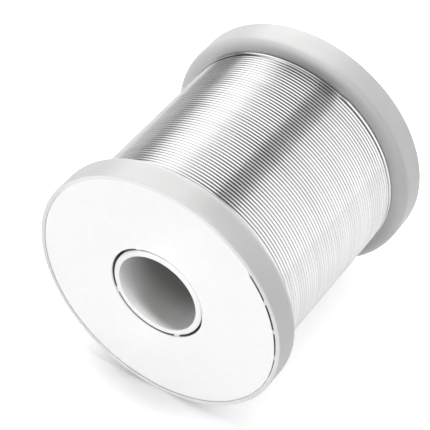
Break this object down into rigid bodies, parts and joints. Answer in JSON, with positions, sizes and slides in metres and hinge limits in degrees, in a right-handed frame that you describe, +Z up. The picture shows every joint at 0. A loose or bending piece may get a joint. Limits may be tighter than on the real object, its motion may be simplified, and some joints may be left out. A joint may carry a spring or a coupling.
{
  "type": "solder wire spool",
  "caption": "Flanged plastic spool on a plain tube, wound full with bright solder wire, with a blank label over one ribbed flange and a bore for a spindle.",
  "frame": {"origin": "middle of the bore, halfway between the flanges' outer ends", "axes": "+Y along the bore, from the labelled flange to the bare one; +Z up, with the spool lying on its rims"},
  "size_m": [0.075, 0.0742, 0.075],
  "materials": {
    "flange_plastic": "moulded, light grey-white, satin",
    "tube_plastic": "extruded, white, satin",
    "label_paper": "smooth coated white paper, blank",
    "solder_wire": "bright drawn tin solder"
  },
  "bodies": {
    "root": {"near_flange": "flange_plastic", "far_flange": "flange_plastic", "core_tube": "tube_plastic", "face_label": "label_paper", "solder_inner": "solder_wire", "solder_outer": "solder_wire"}
  },
  "joints": []
}
